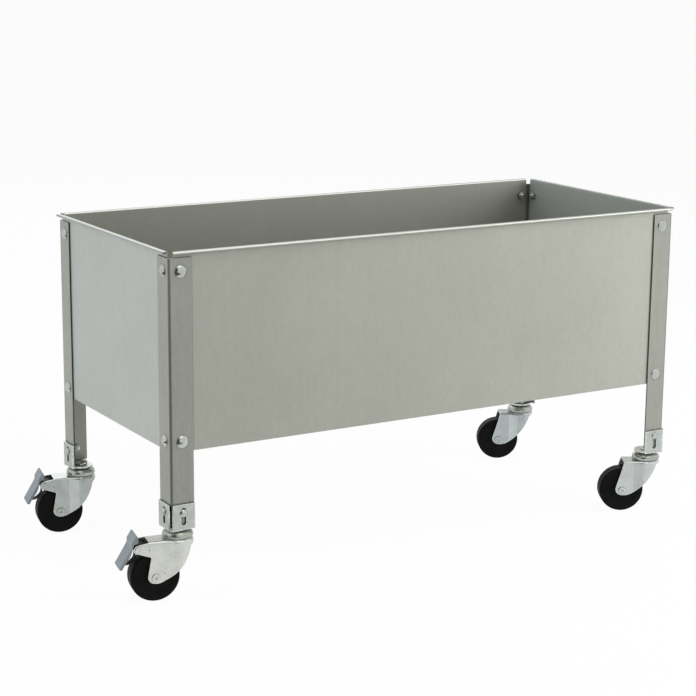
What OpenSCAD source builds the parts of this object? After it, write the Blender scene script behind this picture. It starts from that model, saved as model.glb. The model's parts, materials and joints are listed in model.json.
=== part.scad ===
// Rolling planter: a galvanised sheet tub on four angle legs, each on a swivel caster.
// The two casters at the left end carry a foot brake. Millimetres, +Z up, floor at z = 0,
// origin at the middle of the footprint.

/* [Tub] */
// Length over the rim
rim_l = 800; // [500:1:1200]
// Width over the rim
rim_w = 358; // [260:1:600]
// How far the rim stands out past the legs
rim_proud = 6; // [4:0.5:10]
// Thickness of the galvanised sheet
sheet_t = 0.8; // [0.6:0.1:1.2]
// Height of the four panels
panel_h = 254; // [160:1:330]
// Height of the hem round the rim
hem_h = 3; // [2.6:0.1:4]
// Space between the returned edge of the hem and the panel
hem_gap = 1.5; // [1:0.1:3]
// Inside radius of the bends along the panels
fold_r = 0.8; // [0.4:0.1:2]
// How far a panel stops short of the corner
corner_gap = 5; // [4:0.5:8]
// How much further the mitred rim reaches than its panel
mitre = 3; // [0:0.5:4]
// Width of the ledge that carries the floor
ledge_w = 7.5; // [6:0.5:25]
// How far the ledges stop short of the panel ends
ledge_cut = 18; // [16:0.5:30]

/* [Floor] */
// Thickness of the floor sheet
floor_t = 1; // [0.8:0.1:1.6]
// Height of the turned-up edge of the floor
floor_lip = 5; // [3:0.5:6]
// Space round the floor
floor_gap = 1.2; // [0.8:0.1:3]
// Cut across each corner of the floor
floor_chamfer = 6; // [5:0.5:12]
// Diameter of the drain holes
drain_d = 8; // [4:0.5:12]
// Number of drain holes along each row
drain_n = 6; // [2:1:9]
// Distance of the drain rows from the centre line
drain_y = 80; // [30:1:90]
// Number of stiffening beads across the floor
bead_n = 5; // [1:1:9]
// Height of a stiffening bead
bead_r = 4; // [3:0.5:6]
// Length of a bead between its round ends
bead_l = 240; // [80:1:250]

/* [Legs] */
// Length of a leg
leg_l = 342.5; // [290:0.5:700]
// Width of each leg flange
leg_w = 32; // [28:0.5:45]
// Thickness of the leg steel
leg_t = 2; // [1.5:0.1:3]
// Outside corner radius of a leg
leg_r = 3; // [2.5:0.1:5]
// How far a leg stops below the top of the rim
leg_drop = 8; // [6:0.5:12]

/* [Panel bolts] */
// Diameter of the panel bolts
bolt_d = 6; // [5:0.5:8]
// Diameter of the domed bolt heads
head_d = 16.5; // [12:0.5:20]
// Height of the domed bolt heads
head_h = 4; // [2.5:0.1:6]
// Distance of the bolts from the leg's corner
bolt_in = 17; // [15:0.5:20]
// Distance of the upper bolts below the top of the leg
bolt_top = 17; // [12:0.5:30]
// Distance of the lower bolts above the bottom of the panels
bolt_low = 13.5; // [13:0.5:30]
// Play round a bolt in its hole
bolt_play = 0.25; // [0.1:0.05:0.5]
// Width across the flats of the panel nuts
nut_af = 10; // [8:0.5:13]
// Height of the panel nuts
nut_h = 5; // [3:0.5:6.5]
// How far a bolt stands out of its nut
bolt_tip = 2; // [1:0.5:4]

/* [Caster brackets] */
// Distance of the swivel axis from the outer faces of the leg
swivel_in = 16; // [14:0.5:20]
// Thickness of the bracket steel
plate_t = 2.5; // [2:0.1:4]
// Height of the bracket
bracket_h = 34.5; // [34:0.5:45]
// Width of each bracket flange
bracket_w = 34.5; // [30:0.5:40]
// Outside corner radius of the bracket
bracket_r = 5.5; // [4:0.5:8]
// Width of the slit down the bracket's corner
slit_w = 2; // [1:0.5:4]
// Width of the bracket slots
slot_w = 7; // [6:0.5:8]
// Height of the bracket slots
slot_h = 23; // [15:0.5:24]
// Height of the slots above the bottom of the bracket
slot_z = 7; // [5:0.5:9]
// Space between the bottom of the leg and the base of a braked caster's bracket
leg_lift = 2; // [0.5:0.5:3]
// Diameter of the caster bolts
cbolt_d = 5; // [4:0.5:6]
// Diameter of the caster bolt heads
chead_d = 10.5; // [9:0.5:13]
// Height of the caster bolt heads
chead_h = 3; // [2:0.1:4]
// Distance of the caster bolts below the top of the lower brackets' slots
cbolt_drop = 3.5; // [3.5:0.5:8]
// Width across the flats of the caster nuts
cnut_af = 8; // [7:0.5:9]
// Height of the caster nuts
cnut_h = 4; // [3:0.5:5]

/* [Swivel] */
// Height of the race cup
cup_h = 11.5; // [10:0.5:16]
// Diameter of the cup at its lower edge
cup_d = 39.5; // [38:0.5:50]
// Diameter of the cup at its top
cup_top_d = 32; // [28:0.5:36]
// Rounding of the cup's edges
cup_r = 1.6; // [1:0.1:2.5]
// Space between the cup and the fork
race_gap = 1; // [0.8:0.1:2]
// Diameter of the bearing balls
ball_d = 5; // [4:0.5:5.5]
// Number of bearing balls
ball_n = 14; // [8:1:15]
// Diameter of the circle of balls
race_d = 29; // [27:0.5:30]
// Play above the balls
ball_play = 0.3; // [0.1:0.1:0.4]
// Diameter of the hollow kingpin
king_d = 10; // [8:0.5:12]
// Bore of the hollow kingpin
king_bore = 6; // [4:0.5:7]
// Diameter of the kingpin's upper head
king_head_d = 15; // [13:0.5:18]
// Height of the kingpin's upper head
king_head_h = 1.6; // [1:0.1:2.4]
// Diameter of the kingpin's lower head
king_foot_d = 17; // [13:0.5:20]
// Height of the kingpin's lower head
king_foot_h = 2; // [1.5:0.1:3]
// Play between moving faces
run_play = 0.3; // [0.2:0.05:0.5]
// Radial play of a pin that turns in its hole
pin_play = 0.05; // [0.02:0.01:0.1]

/* [Forks] */
// Width of a fork over its cheeks
fork_w = 29.5; // [28:0.5:34]
// Thickness of the fork steel
fork_t = 2; // [1.5:0.1:2.2]
// Height of a braked caster's fork above its axle
brake_rise = 47.5; // [46:0.5:56]
// Height of a plain caster's fork above its axle
plain_rise = 43.5; // [42:0.5:46]
// Radius of the fork's round back
fork_back_r = 20; // [17:0.5:22]
// Distance from the swivel axis to the crease in the cheeks
crease_x = 19.4; // [18.8:0.1:22]
// Radius of the cheek round the axle
lobe_r = 8.8; // [7.5:0.1:11]
// Trail of the braked casters
brake_trail = 32; // [30:0.5:36]
// Trail of the plain casters
plain_trail = 36; // [32:0.5:40]
// Direction of the left casters, from the swivel axis to the wheel
left_yaw = 168.4; // [0:0.1:360]
// Direction of the right casters, from the swivel axis to the wheel
right_yaw = 152.8; // [0:0.1:360]

/* [Wheels] */
// Diameter of the wheels
wheel_d = 64; // [60:0.5:66]
// Width of the wheels
wheel_w = 22; // [16:0.5:23]
// Rounding of the tread's shoulders
shoulder_r = 2.5; // [1:0.5:6]
// Depth of the dish in each side of the wheel
dish = 0.6; // [0.5:0.1:3]
// Outer diameter of the dish
dish_d = 46; // [40:0.5:52]
// Diameter of the hub boss
boss_d = 20; // [16:0.5:26]
// Outside diameter of the wheel bush
bush_d = 10; // [9:0.5:14]
// Diameter of the axle
axle_d = 6; // [5:0.5:8]
// Diameter of the axle's riveted heads
axle_head_d = 10; // [9:0.5:13]
// Height of the axle's riveted heads
axle_head_h = 1.8; // [1:0.1:3]
// Diameter of the hollow in an axle head
axle_cup_d = 4; // [2:0.5:5]
// Depth of the hollow in an axle head
axle_cup_h = 1.2; // [0.5:0.1:1.6]

/* [Brake] */
// Distance of the brake pin in front of the axle
pin_x = 22.5; // [22:0.5:25]
// Distance of the brake pin below the top of the fork
pin_drop = 8.5; // [8:0.1:10]
// Diameter of the brake pin
pin_d = 5; // [4:0.5:6]
// Diameter of the brake pin's heads
pin_head_d = 8; // [7:0.5:10]
// Height of the brake pin's heads
pin_head_h = 1.2; // [0.8:0.1:2]
// Radius of the fork arm round the brake pin
arm_r = 5.5; // [5.2:0.1:6.4]
// Width of the pedal
pedal_w = 30; // [26:0.5:36]
// Space on each side of the lever in the fork
lever_play = 0.6; // [0.4:0.1:1]
// Radius of the lever's eye
eye_r = 4.8; // [4.2:0.1:5]
// Gap between the brake shoe and the tread
shoe_gap = 0.5; // [0.4:0.1:1]
// Width of the spring leaf
leaf_w = 10; // [8:0.5:24]
// Thickness of the spring leaf
leaf_t = 1.2; // [0.8:0.1:1.5]

/* [Hidden] */
$fn = 48;
eps = 0.01;
round_n = 16;
zinc = [0.72, 0.73, 0.70];
bright_zinc = [0.80, 0.81, 0.79];
black_plastic = [0.10, 0.10, 0.10];
black_steel = [0.14, 0.14, 0.14];
pedal_grey = [0.52, 0.54, 0.57];

// Half sizes over the outer faces of the legs
half_l = rim_l / 2 - rim_proud;
half_w = rim_w / 2 - rim_proud;
// Outer faces of the panels, which are the inner faces of the legs
face_x = half_l - leg_t;
face_y = half_w - leg_t;
rim_out = rim_proud + leg_t;

// Corners, in turn round the tub
FRONT_LEFT = 0;
FRONT_RIGHT = 1;
BACK_RIGHT = 2;
BACK_LEFT = 3;
CORNERS = [FRONT_LEFT, FRONT_RIGHT, BACK_RIGHT, BACK_LEFT];
corner_xy = [[-half_l, -half_w], [half_l, -half_w], [half_l, half_w], [-half_l, half_w]];

// Heights, from the floor up; a braked caster is taller, and the slots level the tub
axle_z = wheel_d / 2;
function braked(i) = i == FRONT_LEFT || i == BACK_LEFT;
function yaw(i) = braked(i) ? left_yaw : right_yaw;
function trail(i) = braked(i) ? brake_trail : plain_trail;
function fork_z(i) = axle_z + (braked(i) ? brake_rise : plain_rise);
function cup_z(i) = fork_z(i) + race_gap;
function bracket_z(i) = cup_z(i) + cup_h;
function base_z(i) = bracket_z(i) + plate_t;
leg_z = base_z(FRONT_LEFT) + leg_lift;
leg_top = leg_z + leg_l;
rim_z = leg_top + leg_drop;
panel_z = rim_z - panel_h;
bolt_zs = [panel_z + bolt_low, leg_top - bolt_top];
cbolt_z = bracket_z(FRONT_RIGHT) + slot_z + slot_h - cbolt_drop;

// Panels
long_wall = 2 * (face_x - corner_gap);
end_wall = 2 * (face_y - corner_gap);
fold_h = sheet_t + fold_r;

// Floor
floor_z = panel_z + sheet_t;
floor_x = face_x - sheet_t - floor_gap;
floor_y = face_y - sheet_t - floor_gap;

// Casters
cheek = fork_w / 2;
inner_cheek = cheek - fork_t;
king_r = king_d / 2;
plate_r = cup_top_d / 2 + 1;
pin_z = brake_rise - pin_drop;
plain_lobe = [0.5, 1.7];
brake_lobe = [1.2, 1.4];
arm_root = 5.8;
arm_under = pin_drop + 10.5;
plain_end = 3;
brake_end = 8;

// Sweep of each cheek's back edge: its centre from the axle, its radius and its two ends in degrees
plain_sweep = [49.4, 81];
plain_sweep_r = 107.3;
plain_sweep_ends = [203, 233];
brake_sweep = [19.4, 55];
brake_sweep_r = 67.2;
brake_sweep_ends = [194, 247];

// Pedal, lever and leaf outlines: distance from the brake pin, outwards and upwards
pedal_outline = [
    [2.6, 18.4], [8.2, 8.8], [8.2, 3.2], [24.2, -24], [20.8, -25],
    [15.9, -16.4], [10.4, -9.2], [8.4, -5], [7, -1], [6.8, 2.4], [4.6, 7.4], [-0.4, 8.8], [-0.4, 15.8]
];
lever_outline = [[3.6, 7.66], [-0.4, 7.1], [-4.8, 6.8], [-12.5, 5.2], [-12.5, 2.8], [-4.6, -3], [0, 0]];
leaf_path = [[1.2, -3.8], [1.8, -12.4], [5.6, -17.2], [11.2, -21], [20.2, -21.4]];
shoe_reach = norm([pin_x, pin_z]) - wheel_d / 2 - shoe_gap;
shoe_angle = atan2(-pin_z, -pin_x);
shoe_w = 5;

// Footprint, which puts the origin in its middle
pedal_reach = brake_trail + pin_x + pedal_outline[3][0];
foot_left = half_l - swivel_in - cos(left_yaw) * pedal_reach + abs(sin(left_yaw)) * pedal_w / 2;
wheel_reach = plain_trail + wheel_d / 2 - shoulder_r;
foot_back = half_w - swivel_in + sin(right_yaw) * wheel_reach
    + abs(cos(right_yaw)) * (wheel_w / 2 - shoulder_r) + shoulder_r;
mid_x = (rim_l / 2 - foot_left) / 2;
mid_y = (max(foot_back, rim_w / 2) - rim_w / 2) / 2;

// Points of an arc about [cx, cy]
function arc(cx, cy, r, a0, a1, n) =
    [for (i = [0:n]) let (a = a0 + (a1 - a0) * i / n) [cx + r * cos(a), cy + r * sin(a)]];

// A strip of thickness t along a path
function side_of(p, q, t) = let (d = (q - p) / norm(q - p)) [-d[1], d[0]] * t / 2;
function strip(path, t) = let (
    n = len(path),
    offs = [for (i = [0:n - 1]) side_of(path[max(i - 1, 0)], path[min(i + 1, n - 1)], t)]
) concat([for (i = [0:n - 1]) path[i] + offs[i]], [for (i = [n - 1:-1:0]) path[i] - offs[i]]);

// ---- placing ----

// The tub's own middle, moved so that the origin is the middle of the footprint
module planter() {
    translate([-mid_x, -mid_y, 0])
        children();
}

// A leg's corner, with the leg's flanges along +X and +Y
module at_corner(i) {
    planter()
        translate([corner_xy[i][0], corner_xy[i][1], 0])
            rotate([0, 0, 90 * i])
                children();
}

// The swivel axis of a caster, square to the leg
module at_swivel(i) {
    at_corner(i)
        translate([swivel_in, swivel_in, 0])
            children();
}

// The swivel axis, with +X towards the wheel
module at_fork(i) {
    at_swivel(i)
        rotate([0, 0, yaw(i) - 90 * i])
            children();
}

// The axle's middle, with the axle along Y
module at_axle(i) {
    at_fork(i)
        translate([trail(i), 0, axle_z])
            children();
}

// The brake pin's middle, with the pin along Y
module at_pin(i) {
    at_axle(i)
        translate([pin_x, 0, pin_z])
            children();
}

// A solid across the fork, from an outline in X and Z
module across(w) {
    rotate([90, 0, 0])
        linear_extrude(w, center = true)
            children();
}

// A round solid across the fork
module pin_across(r, l) {
    rotate([90, 0, 0])
        cylinder(r = r, h = l, center = true);
}

// Both bolt places at a corner, +Z inwards: through the flange along X, then the one along Y
module on_flanges(in, zs) {
    for (z = zs) {
        translate([in, 0, z])
            rotate([-90, 0, 0])
                children();
        translate([0, in, z])
            rotate([90, 0, 90])
                children();
    }
}

// ---- fasteners ----

// Domed bolt: the head's seat is at z = 0 and the shank runs up
module domed_bolt(d, hd, hh, l) {
    ball_r = (hd * hd / 4 + hh * hh) / (2 * hh);
    intersection() {
        translate([0, 0, ball_r - hh])
            sphere(r = ball_r);
        translate([0, 0, -hh])
            cylinder(r = hd, h = hh);
    }
    translate([0, 0, -eps])
        cylinder(d = d, h = l + eps);
}

module hex_nut(af, d, h) {
    difference() {
        cylinder(r = af / sqrt(3), h = h, $fn = 6);
        translate([0, 0, -1])
            cylinder(d = d, h = h + 2);
    }
}

// Each panel bolt clamps one leg flange and one panel
bolt_stack = leg_t + sheet_t;
bolt_len = bolt_stack + nut_h + bolt_tip;

module panel_bolts() {
    color(bright_zinc)
        for (i = CORNERS)
            at_corner(i)
                on_flanges(bolt_in, bolt_zs)
                    domed_bolt(bolt_d, head_d, head_h, bolt_len);
}

module panel_nuts() {
    color(bright_zinc)
        for (i = CORNERS)
            at_corner(i)
                on_flanges(bolt_in, bolt_zs)
                    translate([0, 0, bolt_stack])
                        hex_nut(nut_af, bolt_d, nut_h);
}

module caster_bolts() {
    color(bright_zinc)
        for (i = CORNERS)
            at_corner(i)
                on_flanges(swivel_in, [cbolt_z])
                    translate([0, 0, -plate_t])
                        domed_bolt(cbolt_d, chead_d, chead_h, plate_t + leg_t + cnut_h + bolt_tip);
}

module caster_nuts() {
    color(bright_zinc)
        for (i = CORNERS)
            at_corner(i)
                on_flanges(swivel_in, [cbolt_z])
                    translate([0, 0, leg_t])
                        hex_nut(cnut_af, cbolt_d, cnut_h);
}

// ---- tub ----

// A quarter of a bent sheet about [cx, cy], in the quadrant that starts at angle a
module bend(cx, cy, ri, t, a) {
    translate([cx, cy])
        rotate(a)
            intersection() {
                difference() {
                    circle(r = ri + t);
                    circle(r = ri);
                }
                square(ri + t + 1);
            }
}

// Rim and hem in section: outwards from the panel's outer face, down from the rim's top
module rim_section() {
    hem_x = rim_out - hem_h / 2;
    bend(fold_r, -fold_h, fold_r, sheet_t, 90);
    translate([fold_r - eps, -sheet_t])
        square([hem_x - fold_r + 2 * eps, sheet_t]);
    translate([hem_gap, -hem_h])
        square([hem_x - hem_gap + eps, sheet_t]);
    translate([hem_x, -hem_h / 2])
        intersection() {
            difference() {
                circle(d = hem_h);
                circle(d = hem_h - 2 * sheet_t);
            }
            translate([0, -hem_h])
                square(2 * hem_h);
        }
}

module ledge_section() {
    bend(-fold_h, fold_h - panel_h, fold_r, sheet_t, -90);
    translate([-ledge_w, -panel_h])
        square([ledge_w - fold_h + eps, sheet_t]);
}

// Panel along X with its outer face on y = 0 and its rim towards +Y, top of the rim at z = 0
module panel(wall) {
    module along(l) {
        rotate([90, 0, 90])
            linear_extrude(l, center = true)
                children();
    }
    along(wall)
        translate([-sheet_t, fold_h - panel_h - eps])
            square([sheet_t, panel_h - 2 * fold_h + 2 * eps]);
    along(wall - 2 * ledge_cut)
        ledge_section();
    intersection() {
        along(wall + 2 * mitre)
            rim_section();
        translate([0, 0, -hem_h - 1])
            linear_extrude(hem_h + 2)
                polygon([
                    [-wall / 2, -sheet_t - 1], [wall / 2, -sheet_t - 1], [wall / 2, 0],
                    [wall / 2 + mitre, rim_out + eps], [-wall / 2 - mitre, rim_out + eps], [-wall / 2, 0]
                ]);
    }
}

// Clearance holes for the panel bolts, at all four corners
module panel_holes() {
    for (i = CORNERS)
        translate([corner_xy[i][0], corner_xy[i][1], 0])
            rotate([0, 0, 90 * i])
                on_flanges(bolt_in, bolt_zs)
                    translate([0, 0, -1])
                        cylinder(r = bolt_d / 2 + bolt_play, h = bolt_stack + 2);
}

// A panel whose outer face is this far from the tub's middle
module placed_panel(turn, reach, wall) {
    color(zinc)
        planter()
            difference() {
                rotate([0, 0, turn])
                    translate([0, reach, rim_z])
                        panel(wall);
                panel_holes();
            }
}

module front_panel() { placed_panel(180, face_y, long_wall); }
module back_panel() { placed_panel(0, face_y, long_wall); }
module left_end_panel() { placed_panel(90, face_x, end_wall); }
module right_end_panel() { placed_panel(-90, face_x, end_wall); }

// Floor outline, d smaller all round
module floor_outline(d) {
    x = floor_x - d;
    y = floor_y - d;
    c = floor_chamfer;
    polygon([[c - x, -y], [x - c, -y], [x, c - y], [x, y - c], [x - c, y], [c - x, y], [-x, y - c], [-x, c - y]]);
}

// Raised stiffening bead across the floor: a half tube with round ends
module bead(r) {
    rotate([90, 0, 0])
        cylinder(r = r, h = bead_l, center = true);
    for (s = [-1, 1])
        translate([0, s * bead_l / 2, 0])
            sphere(r = r);
}

module floor_panel() {
    bead_step = 2 * floor_x / (bead_n + 1);
    drain_step = 2 * floor_x / (drain_n + 1);
    color(zinc)
        planter()
            translate([0, 0, floor_z])
                difference() {
                    union() {
                        difference() {
                            linear_extrude(floor_lip)
                                floor_outline(0);
                            translate([0, 0, floor_t])
                                linear_extrude(floor_lip)
                                    floor_outline(floor_t);
                        }
                        for (k = [1:bead_n])
                            translate([k * bead_step - floor_x, 0, 0])
                                intersection() {
                                    bead(bead_r);
                                    translate([-bead_r - 1, -bead_l, 0])
                                        cube([2 * bead_r + 2, 2 * bead_l, bead_r + 1]);
                                }
                    }
                    for (k = [1:bead_n])
                        translate([k * bead_step - floor_x, 0, 0])
                            bead(bead_r - floor_t);
                    for (k = [1:drain_n], s = [-1, 1])
                        translate([k * drain_step - floor_x, s * drain_y, -1])
                            cylinder(d = drain_d, h = bead_r + 2);
                }
}

// ---- legs and brackets ----

// Square with its corner at the origin rounded
module corner_square(w, r) {
    translate([r, 0])
        square([w - r, w]);
    translate([0, r])
        square([w, w - r]);
    translate([r, r])
        circle(r = r);
}

module angle_section(w, t, r) {
    difference() {
        corner_square(w, r);
        translate([t, t])
            corner_square(w, r - t);
    }
}

module leg(i) {
    color(zinc)
        at_corner(i)
            difference() {
                translate([0, 0, leg_z])
                    linear_extrude(leg_l)
                        angle_section(leg_w, leg_t, leg_r);
                on_flanges(bolt_in, bolt_zs)
                    translate([0, 0, -1])
                        cylinder(r = bolt_d / 2 + bolt_play, h = leg_t + 2);
                on_flanges(swivel_in, [cbolt_z])
                    translate([0, 0, -1])
                        cylinder(r = cbolt_d / 2 + bolt_play, h = leg_t + 2);
            }
}

// Slot up a bracket flange, along Y of its own frame
module bracket_slot() {
    run = slot_h - slot_w;
    translate([-slot_w / 2, -run / 2, 0])
        cube([slot_w, run, plate_t + 2]);
    for (s = [-1, 1])
        translate([0, s * run / 2, 0])
            cylinder(d = slot_w, h = plate_t + 2);
}

module bracket(i) {
    reach = swivel_in + plate_t + plate_r;
    color(bright_zinc)
        at_corner(i)
            difference() {
                union() {
                    translate([-plate_t, -plate_t, bracket_z(i)])
                        linear_extrude(plate_t)
                            intersection() {
                                corner_square(reach, bracket_r);
                                union() {
                                    translate([swivel_in + plate_t, swivel_in + plate_t])
                                        circle(r = plate_r);
                                    square([reach, swivel_in + plate_t]);
                                    square([swivel_in + plate_t, reach]);
                                }
                            }
                    translate([-plate_t, -plate_t, base_z(i) - eps])
                        linear_extrude(bracket_h - plate_t + eps)
                            angle_section(bracket_w, plate_t, bracket_r);
                }
                translate([-plate_t, -plate_t, base_z(i)])
                    rotate([0, 0, 45])
                        translate([-1, -slit_w / 2, 0])
                            cube([2 * bracket_r, slit_w, bracket_h]);
                on_flanges(swivel_in, [bracket_z(i) + slot_z + slot_h / 2])
                    translate([0, 0, -plate_t - 1])
                        bracket_slot();
                translate([swivel_in, swivel_in, bracket_z(i) - 1])
                    cylinder(r = king_r, h = plate_t + 2);
            }
}

// ---- swivel ----

module race_cup(i) {
    top_r = cup_top_d / 2;
    low_r = cup_d / 2;
    race_out = race_d / 2 + ball_d / 2 + ball_play;
    foot_r = min(cup_r, low_r - race_out - eps);
    roof = ball_d + ball_play - race_gap;
    color(bright_zinc)
        at_swivel(i)
            translate([0, 0, cup_z(i)])
                rotate_extrude()
                    polygon(concat(
                        [[king_r, cup_h]],
                        arc(top_r - cup_r, cup_h - cup_r, cup_r, 90, 20, round_n / 4),
                        arc(low_r - foot_r, foot_r, foot_r, 15, -90, round_n / 2),
                        [[race_out, 0], [race_out, roof], [king_r, roof]]
                    ));
}

module kingpin(i) {
    foot_z = fork_z(i) - fork_t - run_play - king_foot_h;
    king_h = base_z(i) + king_head_h - foot_z;
    color(bright_zinc)
        at_swivel(i)
            difference() {
                union() {
                    translate([0, 0, foot_z])
                        cylinder(d = king_foot_d, h = king_foot_h);
                    translate([0, 0, foot_z])
                        cylinder(r = king_r, h = king_h);
                    translate([0, 0, base_z(i)])
                        cylinder(d = king_head_d, h = king_head_h);
                }
                translate([0, 0, foot_z - 1])
                    cylinder(d = king_bore, h = king_h + 2);
            }
}

module balls(i) {
    color(bright_zinc)
        at_fork(i)
            for (k = [0:ball_n - 1])
                rotate([0, 0, 360 * k / ball_n])
                    translate([race_d / 2, 0, fork_z(i) + ball_d / 2])
                        sphere(d = ball_d);
}

// ---- forks ----

// Fork seen from above: a round back that tapers to two flat cheeks, d smaller all round
module fork_plan(d, front) {
    w = cheek - d;
    r = fork_back_r - d;
    reach = norm([crease_x, w]);
    a = atan2(w, crease_x) + acos(r / reach);
    polygon(concat(
        arc(0, 0, r, a, 360 - a, 2 * round_n),
        [[crease_x, -w], [front, -w], [front, w], [crease_x, w]]
    ));
}

// Outline of the plain cheek, from the swivel axis outwards and from the axle upwards
module plain_cheek() {
    lobe = [plain_trail + plain_lobe[0], plain_lobe[1]];
    polygon(concat(
        [[-fork_back_r, plain_rise], [-fork_back_r, plain_rise - 1.5]],
        arc(plain_trail + plain_sweep[0], plain_sweep[1], plain_sweep_r,
            plain_sweep_ends[0], plain_sweep_ends[1], round_n),
        arc(lobe[0], lobe[1], lobe_r, -90, 14, round_n / 2),
        [[plain_trail - plain_end, plain_rise]]
    ));
}

// Outline of the braked cheek, with its arm out to the brake pin
module braked_cheek() {
    lobe = [brake_trail + brake_lobe[0], brake_lobe[1]];
    root = brake_trail + arm_root;
    pin = brake_trail + pin_x;
    under = brake_rise - arm_under;
    polygon(concat(
        [[-fork_back_r, brake_rise], [-fork_back_r, brake_rise - 5]],
        arc(brake_trail + brake_sweep[0], brake_sweep[1], brake_sweep_r,
            brake_sweep_ends[0], brake_sweep_ends[1], round_n),
        arc(lobe[0], lobe[1], lobe_r, -90, 12, round_n / 2),
        arc(root + 3, under - 3, 3, 180, 97, round_n / 4),
        arc(pin, pin_z, arm_r, -85, 90, round_n / 2),
        [[root, brake_rise]]
    ));
}

module fork(i) {
    front = trail(i) + pin_x + arm_r + 1;
    color(bright_zinc)
        at_fork(i)
            difference() {
                intersection() {
                    linear_extrude(fork_z(i))
                        fork_plan(0, front);
                    translate([0, 0, axle_z])
                        across(3 * fork_w) {
                            if (braked(i))
                                braked_cheek();
                            else
                                plain_cheek();
                        }
                }
                translate([0, 0, -1])
                    linear_extrude(fork_z(i) - fork_t + 1)
                        fork_plan(fork_t, front + 1);
                if (braked(i))
                    translate([brake_trail + brake_end, -inner_cheek, 0])
                        cube([front, 2 * inner_cheek, fork_z(i) + 1]);
                translate([0, 0, fork_z(i) - 2 * fork_t])
                    cylinder(r = king_r + pin_play, h = 3 * fork_t);
                translate([trail(i), 0, axle_z])
                    pin_across(axle_d / 2, 2 * fork_w);
                if (braked(i))
                    translate([brake_trail + pin_x, 0, axle_z + pin_z])
                        pin_across(pin_d / 2, 2 * fork_w);
            }
}

module axle(i) {
    color(bright_zinc)
        at_axle(i)
            difference() {
                union() {
                    pin_across(axle_d / 2, fork_w);
                    for (s = [-1, 1])
                        translate([0, s * (cheek + axle_head_h / 2), 0])
                            pin_across(axle_head_d / 2, axle_head_h);
                }
                for (s = [-1, 1])
                    translate([0, s * (cheek + axle_head_h), 0])
                        pin_across(axle_cup_d / 2, 2 * axle_cup_h);
            }
}

// ---- wheels ----

module bush(i) {
    color(bright_zinc)
        at_axle(i)
            difference() {
                pin_across(bush_d / 2, 2 * (inner_cheek - run_play));
                pin_across(axle_d / 2 + pin_play, fork_w);
            }
}

module wheel(i) {
    r = wheel_d / 2;
    h = wheel_w / 2;
    upper = concat(
        arc(r - shoulder_r, h - shoulder_r, shoulder_r, 0, 90, round_n / 2),
        [[dish_d / 2, h], [dish_d / 2 - dish, h - dish], [boss_d / 2 + dish, h - dish], [boss_d / 2, h]]
    );
    lower = [for (k = [len(upper) - 1:-1:0]) [upper[k][0], -upper[k][1]]];
    color(black_plastic)
        at_axle(i)
            rotate([90, 0, 0])
                rotate_extrude()
                    polygon(concat([[bush_d / 2, -h]], lower, upper, [[bush_d / 2, h]]));
}

// ---- brake ----

module brake_pin(i) {
    color(bright_zinc)
        at_pin(i) {
            pin_across(pin_d / 2, fork_w);
            for (s = [-1, 1])
                translate([0, s * (cheek + pin_head_h / 2), 0])
                    pin_across(pin_head_d / 2, pin_head_h);
        }
}

module brake_lever(i) {
    color(black_steel)
        at_pin(i)
            difference() {
                across(2 * (inner_cheek - lever_play)) {
                    circle(r = eye_r);
                    polygon(lever_outline);
                    rotate(shoe_angle)
                        translate([0, -shoe_w / 2])
                            square([shoe_reach - eps, shoe_w]);
                }
                pin_across(pin_d / 2 + pin_play, fork_w);
            }
}

module brake_leaf(i) {
    color(black_steel)
        at_pin(i)
            difference() {
                across(leaf_w)
                    polygon(strip(leaf_path, leaf_t));
                pin_across(eye_r, fork_w);
            }
}

module brake_pedal(i) {
    color(pedal_grey)
        at_pin(i)
            difference() {
                across(pedal_w)
                    polygon(pedal_outline);
                across(leaf_w + 2 * eps)
                    polygon(strip(leaf_path, leaf_t));
            }
}

// ---- nodes ----

module front_left_leg() { leg(FRONT_LEFT); }
module front_right_leg() { leg(FRONT_RIGHT); }
module back_right_leg() { leg(BACK_RIGHT); }
module back_left_leg() { leg(BACK_LEFT); }
module front_left_bracket() { bracket(FRONT_LEFT); }
module front_right_bracket() { bracket(FRONT_RIGHT); }
module back_right_bracket() { bracket(BACK_RIGHT); }
module back_left_bracket() { bracket(BACK_LEFT); }
module front_left_race_cup() { race_cup(FRONT_LEFT); }
module front_right_race_cup() { race_cup(FRONT_RIGHT); }
module back_right_race_cup() { race_cup(BACK_RIGHT); }
module back_left_race_cup() { race_cup(BACK_LEFT); }
module front_left_kingpin() { kingpin(FRONT_LEFT); }
module front_right_kingpin() { kingpin(FRONT_RIGHT); }
module back_right_kingpin() { kingpin(BACK_RIGHT); }
module back_left_kingpin() { kingpin(BACK_LEFT); }
module front_left_balls() { balls(FRONT_LEFT); }
module front_right_balls() { balls(FRONT_RIGHT); }
module back_right_balls() { balls(BACK_RIGHT); }
module back_left_balls() { balls(BACK_LEFT); }
module front_left_fork() { fork(FRONT_LEFT); }
module front_right_fork() { fork(FRONT_RIGHT); }
module back_right_fork() { fork(BACK_RIGHT); }
module back_left_fork() { fork(BACK_LEFT); }
module front_left_axle() { axle(FRONT_LEFT); }
module front_right_axle() { axle(FRONT_RIGHT); }
module back_right_axle() { axle(BACK_RIGHT); }
module back_left_axle() { axle(BACK_LEFT); }
module front_left_bush() { bush(FRONT_LEFT); }
module front_right_bush() { bush(FRONT_RIGHT); }
module back_right_bush() { bush(BACK_RIGHT); }
module back_left_bush() { bush(BACK_LEFT); }
module front_left_wheel() { wheel(FRONT_LEFT); }
module front_right_wheel() { wheel(FRONT_RIGHT); }
module back_right_wheel() { wheel(BACK_RIGHT); }
module back_left_wheel() { wheel(BACK_LEFT); }
module front_left_brake_pin() { brake_pin(FRONT_LEFT); }
module back_left_brake_pin() { brake_pin(BACK_LEFT); }
module front_left_brake_lever() { brake_lever(FRONT_LEFT); }
module back_left_brake_lever() { brake_lever(BACK_LEFT); }
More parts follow.
